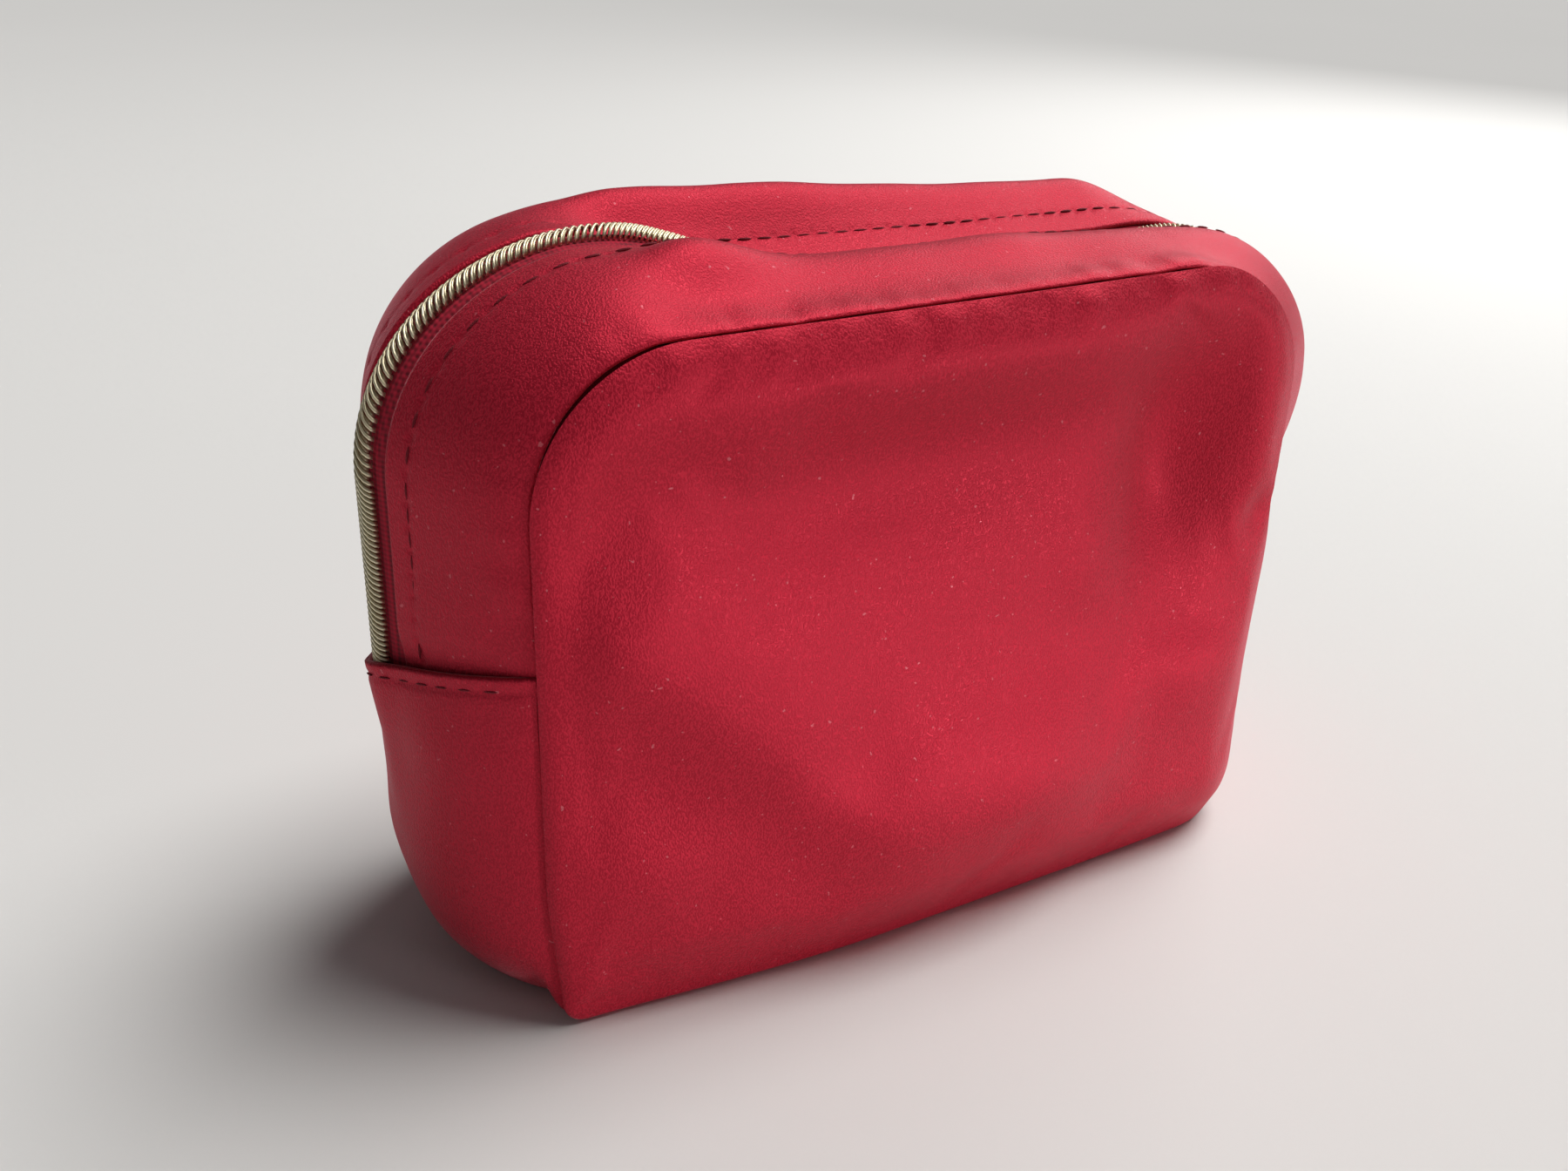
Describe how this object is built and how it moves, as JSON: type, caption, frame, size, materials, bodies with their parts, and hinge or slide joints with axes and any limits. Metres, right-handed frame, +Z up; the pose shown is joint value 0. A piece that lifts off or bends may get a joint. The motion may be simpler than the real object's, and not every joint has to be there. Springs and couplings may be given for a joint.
{
  "type": "cosmetic pouch",
  "caption": "Zipped satin cosmetic pouch with padded panels, a wide gusset and a gold coil zip that runs over the top and down both sides.",
  "frame": {"origin": "on the surface it stands on, under the middle of the pouch between its front and back seams", "axes": "+X to the right seen from the front, +Y to the back, +Z up"},
  "size_m": [0.2074, 0.076, 0.1426],
  "materials": {
    "satin": "satin weave, soft sheen",
    "foam": "soft open-cell foam with a tricot back",
    "lining": "smooth plain-weave lining",
    "zip_tape": "woven tape",
    "coil": "pale gold, metallised nylon",
    "thread": "spun polyester thread",
    "binding": "woven binding tape",
    "slider_metal": "pale gold plating, polished"
  },
  "bodies": {
    "pouch": {"back_panel": "satin", "back_padding": "foam", "back_lining": "lining", "lower_gusset": "satin", "gusset_padding": "foam", "gusset_lining": "lining", "back_zip_band": "satin", "back_band_lining": "lining", "back_zip_tape": "zip_tape", "back_zip_coil": "coil", "back_topstitch": "thread", "left_hem_stitch": "thread", "right_hem_stitch": "thread", "back_binding": "binding", "front_panel_lower": "satin", "front_padding_lower": "foam", "front_lining_lower": "lining", "front_binding_lower": "binding"},
    "front_half": {"front_panel_upper": "satin", "front_padding_upper": "foam", "front_lining_upper": "lining", "front_binding_upper": "binding", "front_zip_band": "satin", "front_band_lining": "lining", "front_zip_tape": "zip_tape", "front_zip_coil": "coil", "front_topstitch": "thread"},
    "slider": {"slider_body": "slider_metal", "slider_bridge": "slider_metal"},
    "puller": {"puller_tab": "slider_metal"}
  },
  "joints": [
    {"name": "mouth_open", "type": "hinge", "parent": "pouch", "child": "front_half", "pos_m": [0, -0.038, 0.07], "axis": [1, 0, 0], "range_deg": [0, 30]},
    {"name": "slider_travel", "type": "slide", "parent": "pouch", "child": "slider", "axis": [0, 0, 1], "range_m": [0, 0.018]},
    {"name": "puller_swing", "type": "hinge", "parent": "slider", "child": "puller", "pos_m": [0.104, 0, 0.078], "axis": [0, -1, 0], "range_deg": [0, 160]}
  ]
}
